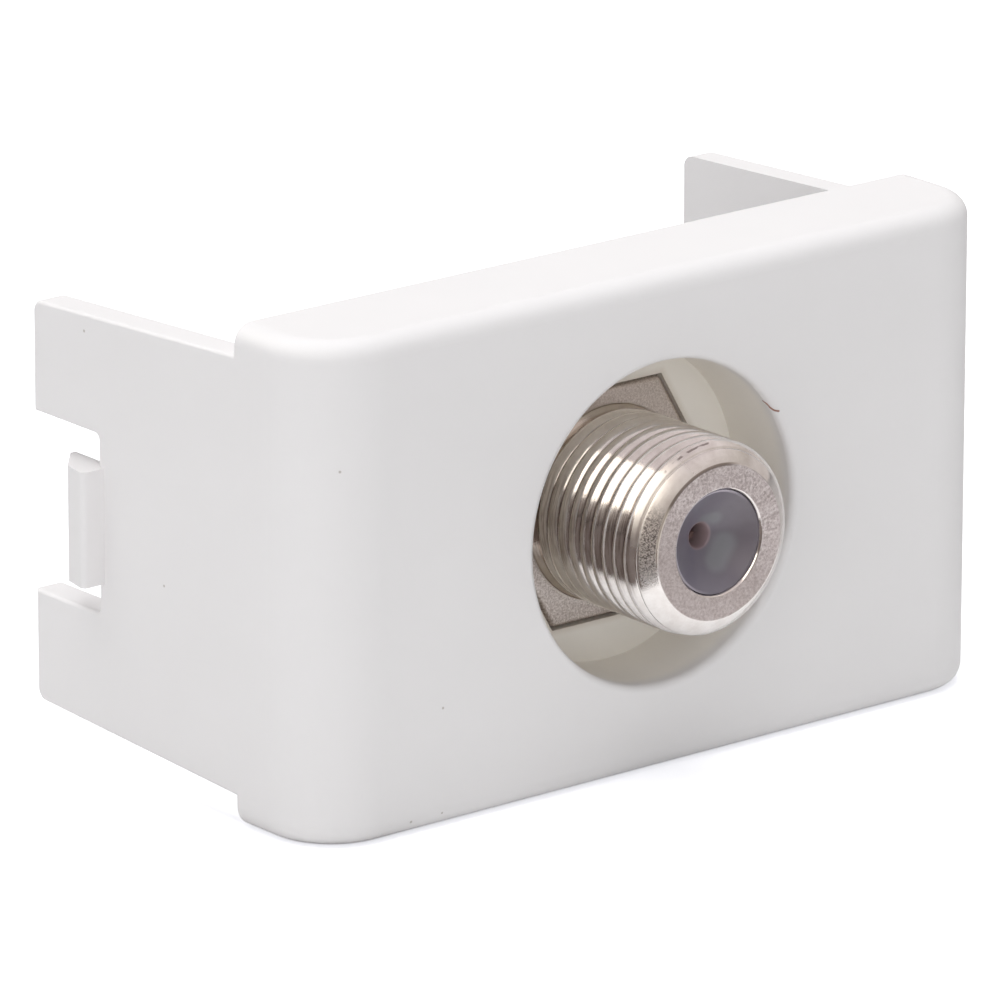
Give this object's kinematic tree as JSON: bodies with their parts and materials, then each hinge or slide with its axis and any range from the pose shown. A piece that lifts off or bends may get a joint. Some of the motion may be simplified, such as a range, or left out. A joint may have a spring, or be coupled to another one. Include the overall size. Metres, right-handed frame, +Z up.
{
  "type": "tv antenna socket module",
  "caption": "Snap-in wall plate module: white rounded box with side arms and hooks, holding a double-ended screw-on coaxial coupler in a round recess.",
  "frame": {"origin": "where the coupler's axis crosses the plane of the white front face, in the middle of the front", "axes": "+X to the right seen from the front, -Y out of the front port towards the room, +Y into the wall, +Z up"},
  "size_m": [0.044, 0.0255, 0.0244],
  "materials": {
    "white_plastic": "satin",
    "nickel": "satin",
    "insulator_plastic": "satin",
    "contact_brass": "satin"
  },
  "bodies": {
    "root": {"housing": "white_plastic", "coupler_body": "nickel", "front_insulator": "insulator_plastic", "rear_insulator": "insulator_plastic", "centre_contact": "contact_brass", "lock_washer": "nickel", "hex_nut": "nickel"}
  },
  "joints": []
}
